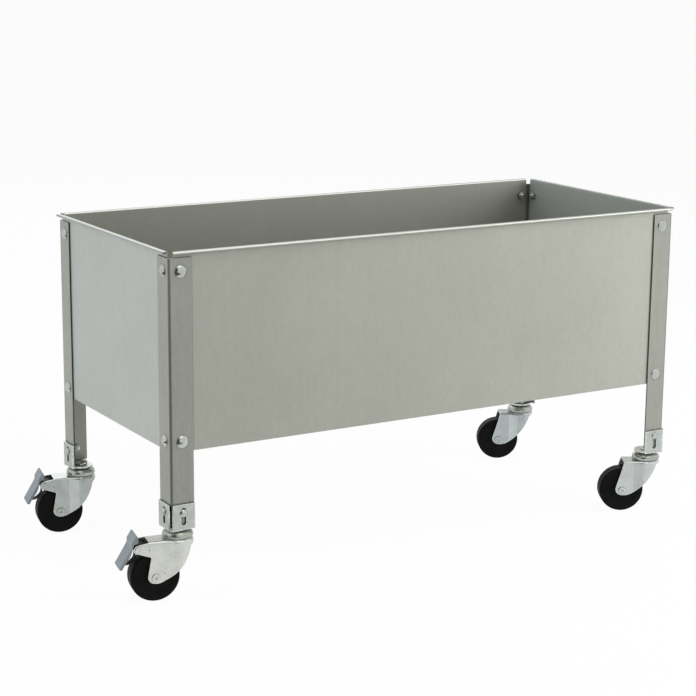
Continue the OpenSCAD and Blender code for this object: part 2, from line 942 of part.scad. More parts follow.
module front_left_brake_leaf() { brake_leaf(FRONT_LEFT); }
module back_left_brake_leaf() { brake_leaf(BACK_LEFT); }
module front_left_brake_pedal() { brake_pedal(FRONT_LEFT); }
module back_left_brake_pedal() { brake_pedal(BACK_LEFT); }

front_panel();
back_panel();
left_end_panel();
right_end_panel();
floor_panel();
front_left_leg();
front_right_leg();
back_right_leg();
back_left_leg();
panel_bolts();
panel_nuts();
caster_bolts();
caster_nuts();
front_left_bracket();
front_right_bracket();
back_right_bracket();
back_left_bracket();
front_left_race_cup();
front_right_race_cup();
back_right_race_cup();
back_left_race_cup();
front_left_kingpin();
front_right_kingpin();
back_right_kingpin();
back_left_kingpin();
front_left_balls();
front_right_balls();
back_right_balls();
back_left_balls();
front_left_fork();
front_right_fork();
back_right_fork();
back_left_fork();
front_left_axle();
front_right_axle();
back_right_axle();
back_left_axle();
front_left_bush();
front_right_bush();
back_right_bush();
back_left_bush();
front_left_wheel();
front_right_wheel();
back_right_wheel();
back_left_wheel();
front_left_brake_pin();
back_left_brake_pin();
front_left_brake_lever();
back_left_brake_lever();
front_left_brake_leaf();
back_left_brake_leaf();
front_left_brake_pedal();
back_left_brake_pedal();
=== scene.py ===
"""Rolling planter: a galvanised sheet tub on angle legs with swivel casters."""
import json
from math import acos, atan2, cos, degrees, hypot, pi, radians, sin

import bpy
from mathutils import Matrix, Vector


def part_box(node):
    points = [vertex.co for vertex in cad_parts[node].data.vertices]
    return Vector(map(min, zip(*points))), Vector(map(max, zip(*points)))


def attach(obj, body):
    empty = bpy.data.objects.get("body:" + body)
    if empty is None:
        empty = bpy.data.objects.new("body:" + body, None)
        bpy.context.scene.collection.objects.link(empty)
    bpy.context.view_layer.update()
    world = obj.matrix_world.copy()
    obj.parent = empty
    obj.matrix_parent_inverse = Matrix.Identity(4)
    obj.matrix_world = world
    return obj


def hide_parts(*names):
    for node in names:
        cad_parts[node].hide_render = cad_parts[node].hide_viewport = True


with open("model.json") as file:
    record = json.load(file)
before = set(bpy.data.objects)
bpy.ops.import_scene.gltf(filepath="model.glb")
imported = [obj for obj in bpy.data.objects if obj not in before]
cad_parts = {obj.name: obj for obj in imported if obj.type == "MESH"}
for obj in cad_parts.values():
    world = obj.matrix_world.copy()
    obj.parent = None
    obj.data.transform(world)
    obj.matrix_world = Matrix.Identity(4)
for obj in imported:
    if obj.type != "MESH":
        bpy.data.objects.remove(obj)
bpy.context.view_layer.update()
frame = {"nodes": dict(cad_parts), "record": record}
nodes = frame["nodes"]
MM = 0.001
# Radius in millimetres of a profile's ends on the axis
ON_AXIS = 0.001

# ---------------------------------------------------------------- sizes, in millimetres
floor_low, floor_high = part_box("floor_panel")
TUB_MID = (floor_low + floor_high) / 2
TUB_X, TUB_Y = TUB_MID.x / MM, TUB_MID.y / MM

# Half sizes over the outer faces of the legs
HALF_L, HALF_W = 394.0, 173.0
LEG_T, LEG_W, LEG_R = 2.0, 32.0, 3.0
LEG_BOTTOM, LEG_TOP = 96.5, 439.0
RIM_Z, HEM_H, SHEET = 447.0, 3.0, 0.8

# Panel bolts: distance from the leg's corner, heights, shank, head, nut and length past the sheet
BOLT_IN, BOLT_ZS = 17.0, (206.5, 422.0)
BOLT_D, HEAD_D, HEAD_H = 6.0, 16.5, 4.0
NUT_FLATS, NUT_H, BOLT_PAST = 10.0, 5.0, 7.0

# Caster bolts, in the leg's foot and the clasp's slots
CASTER_BOLT_Z = 114.5
SMALL_D, SMALL_HEAD_D, SMALL_HEAD_H = 5.0, 10.5, 3.0
SMALL_NUT_FLATS, SMALL_NUT_H, SMALL_PAST = 8.0, 4.0, 6.0
THREAD_L, PITCH, THREAD_DEPTH = 3.0, 0.5, 0.35

# Swivel: the clasp on the leg's foot, the race cup under it, the hollow kingpin through both
SWIVEL_IN = 16.0
PLATE_T, PLATE_R, BORE_R = 2.5, 17.0, 5.0
CLASP_W, CLASP_H, CLASP_R = 34.5, 34.5, 5.5
SLOT_W, SLOT_H, SLOT_Z = 7.0, 23.0, 7.0
SLIT_HALF, SLIT_FLARE, FLARE_H = 1.5, 2.8, 7.0
RACE_GAP, CUP_H = 1.0, 11.5
RUN_GAP, PIN_FOOT_H, PIN_HEAD_H = 0.3, 2.0, 1.6

# Fork, wheel and brake; the wheel trails by TRAIL, the brake pin sits PIN_X past the axle
AXLE_Z = 32.0
WHEEL_R, WHEEL_HALF, SHOULDER_R = 32.0, 11.0, 2.5
CHEEK, FORK_T = 14.75, 2.0
INNER = CHEEK - FORK_T
BACK_R, TAPER_START, CREASE = 20.0, 6.0, 19.4
LOBE_R, ARM_R = 8.8, 5.5
PIN_X, PIN_DROP = 22.5, 8.5
LEVER_HALF, LEAF_HALF, LEAF_T = INNER - 0.6, 5.0, 1.2
SHOE_GAP, SHOE_HALF, EYE_R = 0.5, 2.5, 4.8
PEDAL_HALF = 15.0
NOTCH_PAST, DENT_R, DENT_SINK = 8.0, 3.0, 0.8
RIVET_ROUND = 0.8

CORNERS = {
    "front_left": dict(sign=(-1, -1), turn=0, braked=True),
    "front_right": dict(sign=(1, -1), turn=90, braked=False),
    "back_right": dict(sign=(1, 1), turn=180, braked=False),
    "back_left": dict(sign=(-1, 1), turn=270, braked=True),
}
YAW = {True: 168.4, False: 152.8}
TRAIL = {True: 32.0, False: 36.0}
FORK_Z = {True: 79.5, False: 75.5}
PIN_Z = FORK_Z[True] - PIN_DROP

bpy.context.scene.view_settings.view_transform = "Standard"


# ---------------------------------------------------------------- camera
# Place in metres from the tub's middle and the floor; heading, tilt and roll in degrees
CAMERA_X, CAMERA_Y, CAMERA_Z = -1.3572, -2.2240, 0.8432
HEADING, TILT, ROLL = -30.70, 77.19, 0.506
LENS, SENSOR, FAR = 97.75, 36.0, 50.0


def add_camera():
    bpy.ops.object.camera_add(location=(CAMERA_X + TUB_MID.x, CAMERA_Y + TUB_MID.y, CAMERA_Z))
    camera = bpy.context.object
    turn = (Matrix.Rotation(radians(HEADING), 3, "Z") @ Matrix.Rotation(radians(TILT), 3, "X")
            @ Matrix.Rotation(radians(ROLL), 3, "Z"))
    camera.rotation_euler = turn.to_euler()
    camera.data.lens = LENS
    camera.data.sensor_width = SENSOR
    camera.data.clip_end = FAR
    bpy.context.scene.camera = camera


add_camera()


# ---------------------------------------------------------------- modelling helpers
def deselect():
    if bpy.context.object and bpy.context.object.mode != "OBJECT":
        bpy.ops.object.mode_set(mode="OBJECT")
    bpy.ops.object.select_all(action="DESELECT")


def take(obj):
    deselect()
    obj.select_set(True)
    bpy.context.view_layer.objects.active = obj


def arc(cx, cz, r, start, end, steps):
    """Points on a circle about (cx, cz), from one angle in degrees to the other."""
    return [(cx + r * cos(radians(start + (end - start) * k / steps)),
             cz + r * sin(radians(start + (end - start) * k / steps))) for k in range(steps + 1)]


def draw_line(name, points, closed):
    """Extrudes one vertex from point to point; a closed line is filled."""
    deselect()
    points = [Vector(p) * MM for p in points]
    bpy.ops.mesh.primitive_plane_add(size=MM)
    obj = bpy.context.object
    obj.name = obj.data.name = name
    bpy.ops.object.mode_set(mode="EDIT")
    bpy.ops.mesh.merge(type="CENTER")
    bpy.ops.transform.translate(value=points[0])
    for here, there in zip(points, points[1:]):
        bpy.ops.mesh.extrude_region_move(TRANSFORM_OT_translate={"value": there - here})
    bpy.ops.mesh.select_all(action="SELECT")
    if closed:
        bpy.ops.mesh.edge_face_add()
    bpy.ops.object.mode_set(mode="OBJECT")
    return obj


def prism(name, points, push):
    """A filled outline pushed out into a solid."""
    obj = draw_line(name, points, True)
    bpy.ops.object.mode_set(mode="EDIT")
    bpy.ops.mesh.select_all(action="SELECT")
    bpy.ops.mesh.extrude_region_move(TRANSFORM_OT_translate={"value": Vector(push) * MM})
    bpy.ops.mesh.select_all(action="SELECT")
    bpy.ops.mesh.normals_make_consistent(inside=False)
    bpy.ops.object.mode_set(mode="OBJECT")
    return obj


def plan_prism(name, points, low, high):
    return prism(name, [(x, y, low) for x, y in points], (0, 0, high - low))


def side_prism(name, points, half_width):
    return prism(name, [(x, -half_width, z) for x, z in points], (0, 2 * half_width, 0))


def lathe(name, profile, steps=48):
    """Spins a profile of (radius, height) about Z."""
    obj = draw_line(name, [(r, 0, z) for r, z in profile], False)
    bpy.ops.object.mode_set(mode="EDIT")
    bpy.ops.mesh.select_all(action="SELECT")
    bpy.ops.mesh.spin(steps=steps, angle=2 * pi, center=(0, 0, 0), axis=(0, 0, 1))
    bpy.ops.mesh.select_all(action="SELECT")
    bpy.ops.mesh.remove_doubles(threshold=0.00001)
    bpy.ops.mesh.normals_make_consistent(inside=False)
    bpy.ops.object.mode_set(mode="OBJECT")
    return obj


def modify(obj, kind, **values):
    """Adds a modifier and applies it."""
    take(obj)
    modifier = obj.modifiers.new(kind.lower(), kind)
    for key, value in values.items():
        setattr(modifier, key, value)
    bpy.ops.object.modifier_apply(modifier=modifier.name)
    return obj


def combine(obj, tool, operation):
    modify(obj, "BOOLEAN", object=tool, operation=operation, solver="EXACT")
    bpy.data.objects.remove(tool)
    return obj


def cut(obj, *tools):
    for tool in tools:
        combine(obj, tool, "DIFFERENCE")
    return obj


def bevel_where(obj, pick, width, segments=4):
    """Bevels the edges whose two ends pass the test, given in millimetres."""
    take(obj)
    bpy.ops.object.mode_set(mode="EDIT")
    bpy.ops.mesh.select_mode(type="EDGE")
    bpy.ops.mesh.select_all(action="DESELECT")
    bpy.ops.object.mode_set(mode="OBJECT")
    verts = obj.data.vertices
    for edge in obj.data.edges:
        edge.select = bool(pick(verts[edge.vertices[0]].co / MM, verts[edge.vertices[1]].co / MM))
    bpy.ops.object.mode_set(mode="EDIT")
    bpy.ops.mesh.bevel(offset=width * MM, segments=segments, affect="EDGES")
    bpy.ops.mesh.select_mode(type="VERT")
    bpy.ops.object.mode_set(mode="OBJECT")
    return obj


def smooth(obj, angle=32, crease=None):
    """Smooth shading that keeps large faces flat; edges that pass the crease test stay sharp."""
    take(obj)
    bpy.ops.object.shade_smooth_by_angle(angle=radians(angle))
    if crease:
        verts = obj.data.vertices
        for edge in obj.data.edges:
            if crease(verts[edge.vertices[0]].co / MM, verts[edge.vertices[1]].co / MM):
                edge.use_edge_sharp = True
    return modify(obj, "WEIGHTED_NORMAL", keep_sharp=True, weight=80)


def soften(obj, width=0.4, segments=2, angle=30, crease=None):
    """Small rounding of every sharp edge, then smooth shading."""
    modify(obj, "BEVEL", width=width * MM, segments=segments, limit_method="ANGLE",
           angle_limit=radians(angle), use_clamp_overlap=True)
    return smooth(obj, 50, crease)


def cylinder(name, radius, low, high, segments=32):
    deselect()
    bpy.ops.mesh.primitive_cylinder_add(vertices=segments, radius=radius * MM, depth=(high - low) * MM,
                                        location=(0, 0, (low + high) / 2 * MM))
    obj = bpy.context.object
    bpy.ops.object.transform_apply(location=True)
    obj.name = name
    return obj


def place(obj, matrix):
    """Puts a piece's place and turn into its mesh."""
    take(obj)
    obj.matrix_world = matrix
    bpy.ops.object.transform_apply(location=True, rotation=True, scale=True)
    return obj


def shift(x, y, z):
    return Matrix.Translation(Vector((x, y, z)) * MM)


def turned(angle, axis):
    return Matrix.Rotation(radians(angle), 4, axis)


def repeat(obj, name):
    """A copy with its own mesh."""
    copy = obj.copy()
    copy.data = obj.data.copy()
    copy.name = copy.data.name = name
    bpy.context.scene.collection.objects.link(copy)
    return copy


def join(name, parts):
    deselect()
    for part in parts:
        part.select_set(True)
    bpy.context.view_layer.objects.active = parts[0]
    bpy.ops.object.join()
    obj = bpy.context.object
    obj.name = obj.data.name = name
    return obj


def at_corner(corner):
    """A leg's corner, flanges along +X and +Y."""
    sx, sy = CORNERS[corner]["sign"]
    return shift(TUB_X + sx * HALF_L, TUB_Y + sy * HALF_W, 0) @ turned(CORNERS[corner]["turn"], "Z")


def at_swivel(corner):
    """The swivel axis, +X towards the wheel."""
    sx, sy = CORNERS[corner]["sign"]
    return (shift(TUB_X + sx * (HALF_L - SWIVEL_IN), TUB_Y + sy * (HALF_W - SWIVEL_IN), 0)
            @ turned(YAW[CORNERS[corner]["braked"]], "Z"))


def on_body(obj, body, slot, look, *replaced):
    """Ties a piece to its body, hides the CAD nodes that it replaces and gives it its look; slot is not used.
    """
    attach(obj, body)
    if replaced:
        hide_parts(*replaced)
    obj.data.materials.clear()
    obj.data.materials.append(look)
    return obj


# ---------------------------------------------------------------- materials
def new_group(name, inputs, outputs):
    group = bpy.data.node_groups.new(name, "ShaderNodeTree")
    for label, kind, value in inputs:
        socket = group.interface.new_socket(label, in_out="INPUT", socket_type="NodeSocket" + kind)
        socket.default_value = value
    for label, kind in outputs:
        group.interface.new_socket(label, in_out="OUTPUT", socket_type="NodeSocket" + kind)
    start = group.nodes.new("NodeGroupInput")
    end = group.nodes.new("NodeGroupOutput")
    return group, start, end


def node(tree, kind, **values):
    made = tree.nodes.new("ShaderNode" + kind)
    for key, value in values.items():
        if key in made.inputs:
            made.inputs[key].default_value = value
        else:
            setattr(made, key, value)
    return made


def link(tree, *pairs):
    for source, target in pairs:
        tree.links.new(source, target)


def calculate(tree, operation, a, b, clamp=False):
    """A maths node; either value may be a number or a socket."""
    made = tree.nodes.new("ShaderNodeMath")
    made.operation = operation
    made.use_clamp = clamp
    for socket, value in zip(made.inputs, (a, b)):
        if isinstance(value, (int, float)):
            socket.default_value = value
        else:
            tree.links.new(value, socket)
    return made.outputs[0]


def spread(tree, value, low, high):
    """Maps a value from low..high to 0..1."""
    made = node(tree, "MapRange", clamp=True)
    made.inputs["From Min"].default_value = low
    made.inputs["From Max"].default_value = high
    tree.links.new(value, made.inputs["Value"])
    return made.outputs["Result"]


def streak_group():
    """Fine marks drawn out along one axis."""
    group, start, end = new_group(
        "Drawn streaks",
        [("Stretch", "Vector", (900.0, 900.0, 14.0)), ("Low", "Float", 0.3), ("High", "Float", 0.7)],
        [("Mask", "Float")])
    where = node(group, "TexCoord")
    scaled = node(group, "VectorMath", operation="MULTIPLY")
    noise = node(group, "TexNoise", Scale=1.0, Detail=4.0, Roughness=0.6)
    ramp = node(group, "MapRange", clamp=True)
    link(group, (where.outputs["Object"], scaled.inputs[0]), (start.outputs["Stretch"], scaled.inputs[1]),
         (scaled.outputs[0], noise.inputs["Vector"]), (noise.outputs["Fac"], ramp.inputs["Value"]),
         (start.outputs["Low"], ramp.inputs["From Min"]), (start.outputs["High"], ramp.inputs["From Max"]),
         (ramp.outputs["Result"], end.inputs["Mask"]))
    return group


def spangle_group():
    """Crystal patches of a zinc coat, each with its own tone, and soft clouds over them."""
    group, start, end = new_group(
        "Zinc spangle", [("Size", "Float", 130.0), ("Clouds", "Float", 9.0)],
        [("Tone", "Float"), ("Cloud", "Float")])
    where = node(group, "TexCoord")
    wobble = node(group, "TexNoise", Scale=60.0, Detail=3.0)
    pull = node(group, "VectorMath", operation="SCALE", Scale=0.006)
    moved = node(group, "VectorMath", operation="ADD")
    cells = node(group, "TexVoronoi", feature="F1")
    grey = node(group, "SeparateColor")
    cloud = node(group, "TexNoise", Detail=3.0, Roughness=0.55)
    link(group, (where.outputs["Object"], wobble.inputs["Vector"]), (wobble.outputs["Color"], pull.inputs[0]),
         (where.outputs["Object"], moved.inputs[0]), (pull.outputs[0], moved.inputs[1]),
         (moved.outputs[0], cells.inputs["Vector"]), (start.outputs["Size"], cells.inputs["Scale"]),
         (cells.outputs["Color"], grey.inputs["Color"]), (grey.outputs["Red"], end.inputs["Tone"]),
         (where.outputs["Object"], cloud.inputs["Vector"]), (start.outputs["Clouds"], cloud.inputs["Scale"]),
         (cloud.outputs["Fac"], end.inputs["Cloud"]))
    return group


def grain_group():
    """Fine even grain, for moulded or plated surfaces."""
    group, start, end = new_group("Fine grain", [("Scale", "Float", 1500.0), ("Clouds", "Float", 60.0)],
                                  [("Grain", "Float"), ("Cloud", "Float")])
    where = node(group, "TexCoord")
    fine = node(group, "TexNoise", Detail=2.0, Roughness=0.5)
    broad = node(group, "TexNoise", Detail=4.0, Roughness=0.6)
    link(group,
         (where.outputs["Object"], fine.inputs["Vector"]), (start.outputs["Scale"], fine.inputs["Scale"]),
         (where.outputs["Object"], broad.inputs["Vector"]), (start.outputs["Clouds"], broad.inputs["Scale"]),
         (fine.outputs["Fac"], end.inputs["Grain"]), (broad.outputs["Fac"], end.inputs["Cloud"]))
    return group


def gap_shade_group():
    """Painted shade where two surfaces meet: 1 in the open, 0 deep in a gap."""
    group, start, end = new_group("Painted gap shade", [("Reach", "Float", 0.004), ("Open", "Float", 0.85)],
                                  [("Clear", "Float")])
    shade = node(group, "AmbientOcclusion", samples=6)
    ramp = node(group, "MapRange", clamp=True)
    ramp.inputs["From Min"].default_value = 0.28
    link(group,
         (start.outputs["Reach"], shade.inputs["Distance"]), (shade.outputs["AO"], ramp.inputs["Value"]),
         (start.outputs["Open"], ramp.inputs["From Max"]), (ramp.outputs["Result"], end.inputs["Clear"]))
    return group


def bright_edge_group():
    """Bright edges, partly rubbed by handling and partly a painted highlight: 1 on an edge, 0 on a flat."""
    group, start, end = new_group("Rubbed and highlit edges", [("Radius", "Float", 0.0006), ("Scatter", "Float", 240.0)],
                                  [("Mask", "Float")])
    where = node(group, "TexCoord")
    face = node(group, "NewGeometry")
    rounded = node(group, "Bevel", samples=4)
    along = node(group, "VectorMath", operation="DOT_PRODUCT")
    edge = node(group, "MapRange", clamp=True)
    edge.inputs["From Min"].default_value = 0.995
    edge.inputs["From Max"].default_value = 0.93
    patches = node(group, "TexNoise", Detail=2.0)
    keep = node(group, "MapRange", clamp=True)
    keep.inputs["From Min"].default_value = 0.3
    keep.inputs["From Max"].default_value = 0.55
    both = node(group, "Math", operation="MULTIPLY")
    link(group,
         (start.outputs["Radius"], rounded.inputs["Radius"]), (rounded.outputs["Normal"], along.inputs[0]),
         (face.outputs["Normal"], along.inputs[1]), (along.outputs["Value"], edge.inputs["Value"]),
         (where.outputs["Object"], patches.inputs["Vector"]),
         (start.outputs["Scatter"], patches.inputs["Scale"]),
         (patches.outputs["Fac"], keep.inputs["Value"]), (edge.outputs["Result"], both.inputs[0]),
         (keep.outputs["Result"], both.inputs[1]), (both.outputs["Value"], end.inputs["Mask"]))
    return group


STREAKS, SPANGLE, GRAIN = streak_group(), spangle_group(), grain_group()
GAP_SHADE, BRIGHT_EDGES = gap_shade_group(), bright_edge_group()


def background_rays(tree):
    """1 for the rays that show the background: seen directly, in metal or through glass."""
    path = node(tree, "LightPath")
    seen = calculate(tree, "MAXIMUM", path.outputs["Is Camera Ray"], path.outputs["Is Glossy Ray"])
    return calculate(tree, "MAXIMUM", seen, path.outputs["Is Transmission Ray"])


def use(tree, group, **values):
    made = tree.nodes.new("ShaderNodeGroup")
    made.node_tree = group
    for key, value in values.items():
        made.inputs[key].default_value = value
    return made


def material(name, metallic, roughness, specular=0.5):
    made = bpy.data.materials.new(name)
    made.use_nodes = True
    tree = made.node_tree
    shader = tree.nodes["Principled BSDF"]
    shader.inputs["Metallic"].default_value = metallic
    shader.inputs["Roughness"].default_value = roughness
    shader.inputs["Specular IOR Level"].default_value = specular
    return made, tree, shader


def blend_colors(tree, factor, dark, light):
    """A mix of two colours; either may be a socket."""
    made = node(tree, "Mix", data_type="RGBA")
    tree.links.new(factor, made.inputs[0])
    for socket, value in ((made.inputs[6], dark), (made.inputs[7], light)):
        if isinstance(value, tuple):
            socket.default_value = (*value, 1)
        else:
            tree.links.new(value, socket)
    return made.outputs[2]


def bump(tree, shader, height, strength, distance):
    made = node(tree, "Bump", Strength=strength, Distance=distance)
    link(tree, (height, made.inputs["Height"]), (made.outputs["Normal"], shader.inputs["Normal"]))


def paint_gap_shade(tree, color, dark, gap):
    """The colour, with painted shade in the gaps between pieces at a small share of the dark tone."""
    reach, share = gap
    clear = use(tree, GAP_SHADE, Reach=reach)
    return blend_colors(tree, clear.outputs["Clear"], tuple(c * share for c in dark), color)


def vary_roughness(tree, shader, tone, low, high):
    made = node(tree, "MapRange")
    made.inputs["To Min"].default_value = low
    made.inputs["To Max"].default_value = high
    link(tree, (tone, made.inputs["Value"]), (made.outputs["Result"], shader.inputs["Roughness"]))


# Share of each effect in the tone of galvanised sheet
FINE_SHARE, BROAD_SHARE, CRYSTAL_SHARE, CLOUD_SHARE = 0.34, 0.16, 0.14, 0.36

# How far the painted shade in a gap reaches, in metres, and its share of the dark tone
SHEET_GAP_SHADE, PLATE_GAP_SHADE = (0.0045, 0.08), (0.0022, 0.12)

# Heights in metres between which a leg's painted foot shade ends, and the tone of zinc edges, partly rubbed
# and partly a painted highlight
FOOT_SHADE = (0.120, 0.127)
BRIGHT_EDGE_ZINC = (0.84, 0.86, 0.82)


def galvanised(name, dark, light, metallic, rough, stretch, painted_rim=None, foot=None):
    """Hot-dip zinc: short drawn streaks over faint crystal patches and broad clouds."""
    made, tree, shader = material(name, metallic, rough)
    fine = use(tree, STREAKS, Stretch=stretch, Low=0.3, High=0.7)
    broad = use(tree, STREAKS, Stretch=tuple(s / 5 for s in stretch), Low=0.3, High=0.7)
    zinc = use(tree, SPANGLE, Size=170.0, Clouds=5.0)
    cloud = spread(tree, zinc.outputs["Cloud"], 0.3, 0.7)
    streak = calculate(tree, "ADD", calculate(tree, "MULTIPLY", fine.outputs["Mask"], FINE_SHARE),
                       calculate(tree, "MULTIPLY", broad.outputs["Mask"], BROAD_SHARE))
    patch = calculate(tree, "ADD", calculate(tree, "MULTIPLY", zinc.outputs["Tone"], CRYSTAL_SHARE),
                      calculate(tree, "MULTIPLY", cloud, CLOUD_SHARE))
    tone = calculate(tree, "ADD", streak, patch, clamp=True)
    color = blend_colors(tree, tone, dark, light)
    # A painted rim tone on the hem's rolled edge: a painted highlight on the sheet, painted shade on the end
    # panels
    if painted_rim:
        color = blend_colors(tree, painted_rim_mask(tree), color, painted_rim)
    # Painted shade on the foot of a leg's bend, up to the clasp's top
    if foot:
        color = blend_colors(tree, above_clasp(tree), foot, color)
    # Painted shade in the gaps between pieces
    color = paint_gap_shade(tree, color, dark, SHEET_GAP_SHADE)
    link(tree, (color, shader.inputs["Base Color"]))
    vary_roughness(tree, shader, tone, rough + 0.07, rough - 0.05)
    bump(tree, shader, fine.outputs["Mask"], 0.2, 0.00006)
    return made


def above_clasp(tree):
    """0 on the foot of a leg, which the clasp shades, 1 above it."""
    where = node(tree, "TexCoord")
    height = node(tree, "SeparateXYZ")
    link(tree, (where.outputs["Object"], height.inputs[0]))
    return spread(tree, height.outputs["Z"], *FOOT_SHADE)


def painted_rim_mask(tree):
    """Where the painted rim tone goes: 1 on the rolled upper edge of the hem, 0 on its flat top and below it.
    """
    where = node(tree, "TexCoord")
    height = node(tree, "SeparateXYZ")
    facing = node(tree, "SeparateXYZ")
    link(tree, (where.outputs["Object"], height.inputs[0]), (where.outputs["Normal"], facing.inputs[0]))
    high = spread(tree, height.outputs["Z"], (RIM_Z - HEM_H) * MM, (RIM_Z - HEM_H + 0.5) * MM)
    up = spread(tree, facing.outputs["Z"], 0.1, 0.35)
    rolled = spread(tree, facing.outputs["Z"], 0.999, 0.97)
    return calculate(tree, "MULTIPLY", calculate(tree, "MULTIPLY", high, up), rolled)


def plated(name, dark, light, edge, rough, metallic=0.75, bright_edge_radius=0.0012):
    """Bright zinc plate: faint clouds, fine grain, a painted reflection in another tone where it curves away
    from view, brighter edges that are partly wear and partly a painted highlight.
    """
    made, tree, shader = material(name, metallic, rough)
    grain = use(tree, GRAIN, Scale=1800.0, Clouds=70.0)
    tone = spread(tree, grain.outputs["Cloud"], 0.32, 0.68)
    # A painted reflection: another tone where the surface turns away from view
    away = node(tree, "LayerWeight", Blend=0.5)
    turn = spread(tree, away.outputs["Facing"], 0.45, 0.98)
    color = blend_colors(tree, turn, blend_colors(tree, tone, dark, light), edge)
    # Brighter edges: partly wear, partly a painted highlight
    wear_and_highlight = use(tree, BRIGHT_EDGES, Radius=bright_edge_radius, Scatter=240.0)
    color = blend_colors(tree, wear_and_highlight.outputs["Mask"], color, BRIGHT_EDGE_ZINC)
    # Painted shade in the gaps between pieces
    color = paint_gap_shade(tree, color, dark, PLATE_GAP_SHADE)
    link(tree, (color, shader.inputs["Base Color"]))
    vary_roughness(tree, shader, tone, rough + 0.07, rough - 0.05)
    bump(tree, shader, grain.outputs["Grain"], 0.12, 0.00005)
    return made


def moulded(name, dark, light, rough, grain_depth, specular=0.5, edge_wear_and_highlight_tone=None):
    """Moulded plastic or rubber: fine grain, slight clouding, lighter edges that are partly scuffs and partly
    a painted highlight.
    """
    made, tree, shader = material(name, 0.0, rough, specular)
    grain = use(tree, GRAIN, Scale=2200.0, Clouds=45.0)
    tone = spread(tree, grain.outputs["Cloud"], 0.35, 0.7)
    color = blend_colors(tree, tone, dark, light)
    if edge_wear_and_highlight_tone:
        # Lighter edges: partly scuffs, partly a painted highlight
        wear_and_highlight = use(tree, BRIGHT_EDGES, Radius=0.0007, Scatter=160.0)
        color = blend_colors(tree, calculate(tree, "MULTIPLY", wear_and_highlight.outputs["Mask"], 0.6), color, edge_wear_and_highlight_tone)
    link(tree, (color, shader.inputs["Base Color"]))
    vary_roughness(tree, shader, grain.outputs["Grain"], rough - 0.06, rough + 0.08)
    bump(tree, shader, grain.outputs["Grain"], 0.3, grain_depth)
    return made


# Two tones in linear light, then the metal's share, roughness and stretch of the streaks
# The sheet's rim tone is a painted highlight
SHEET_STEEL = galvanised("galvanised_sheet", (0.31, 0.315, 0.27), (0.385, 0.39, 0.34), 0.4, 0.42,
                         (700.0, 700.0, 60.0), painted_rim=(0.80, 0.82, 0.76))
# The end panels: a lighter, cooler copy of the sheet, painted light, with painted shade on the rim
PAINTED_END_STEEL = galvanised("galvanised_end_painted_light", (0.355, 0.375, 0.35), (0.435, 0.455, 0.43), 0.4, 0.42,
                       (700.0, 700.0, 60.0), painted_rim=(0.21, 0.23, 0.205))
ANGLE_STEEL = galvanised("galvanised_angle", (0.24, 0.245, 0.212), (0.328, 0.333, 0.295), 0.5, 0.38,
                         (600.0, 600.0, 30.0))
# The leg's bend: a darker copy of the angle steel, painted shade, with painted shade on its foot
SHADED_BEND_STEEL = galvanised("angle_bend_painted_shade", (0.15, 0.155, 0.135), (0.21, 0.215, 0.19), 0.5, 0.4,
                        (600.0, 600.0, 30.0), foot=(0.012, 0.012, 0.011))
# Cut edges: dark as bare steel, and darker as a painted shade line where the leg meets the panel
CUT_EDGE_AND_SHADE = galvanised("cut_edge_and_shade", (0.05, 0.05, 0.045), (0.12, 0.12, 0.11), 0.3, 0.6, (600.0, 600.0, 90.0))

# Two tones, the painted reflection tone where the surface turns away, then the roughness
ZINC = plated("bright_zinc", (0.53, 0.55, 0.52), (0.60, 0.62, 0.59), (0.34, 0.35, 0.33), 0.24)
# Lighter and darker copies of one zinc for each caster's fork, axle and pin: painted light for how light
# falls on each
FORK_ZINC_PAINTED_LIGHT = {
    "front_left": plated("fork_zinc_pale", (0.60, 0.61, 0.57), (0.65, 0.66, 0.62), (0.36, 0.37, 0.35),
                         0.24),
    "back_left": plated("fork_zinc_grey", (0.38, 0.41, 0.39), (0.43, 0.46, 0.44), (0.30, 0.32, 0.31), 0.2),
    "front_right": plated("fork_zinc_cool", (0.50, 0.53, 0.51), (0.55, 0.58, 0.56), (0.36, 0.38, 0.37),
                          0.22),
    "back_right": plated("fork_zinc_blue", (0.39, 0.43, 0.43), (0.44, 0.48, 0.48), (0.28, 0.31, 0.31), 0.2),
}
# Tones for the forks' tapered sides: a painted reflection
TAPER_ZINC_PAINTED_REFLECTION = {
    "back_left": plated("taper_zinc_grey", (0.47, 0.50, 0.48), (0.52, 0.55, 0.53), (0.36, 0.38, 0.37), 0.2),
    "front_right": plated("taper_zinc_cool", (0.44, 0.46, 0.45), (0.49, 0.51, 0.50), (0.50, 0.53, 0.51),
                          0.22),
    "back_right": plated("taper_zinc_blue", (0.50, 0.54, 0.54), (0.55, 0.59, 0.59), (0.34, 0.37, 0.37), 0.2),
}
CLASP_ZINC = plated("clasp_zinc", (0.42, 0.45, 0.43), (0.50, 0.53, 0.50), (0.20, 0.22, 0.20), 0.2,
                    metallic=0.85, bright_edge_radius=0.002)
CUP_ZINC = plated("cup_zinc", (0.37, 0.39, 0.35), (0.44, 0.46, 0.41), (0.24, 0.25, 0.22), 0.24, metallic=0.9)
BOLT_ZINC = plated("bolt_zinc", (0.44, 0.46, 0.43), (0.52, 0.54, 0.51), (0.12, 0.13, 0.115), 0.19,
                   metallic=0.9, bright_edge_radius=0.0007)

# Two tones, roughness, depth of the grain in metres, mirroring and the tone of the edges, partly worn and
# partly a painted highlight
TREAD = moulded("wheel_black", (0.0045, 0.0052, 0.0043), (0.008, 0.0088, 0.0073), 0.5, 0.00003, 0.06)
BLACK_STEEL = moulded("black_steel", (0.0025, 0.003, 0.003), (0.005, 0.006, 0.006), 0.45, 0.00002, 0.05)
PEDAL_GREY = moulded("pedal_grey", (0.20, 0.222, 0.242), (0.25, 0.275, 0.295), 0.55, 0.00006, 0.35,
                     (0.33, 0.35, 0.37))

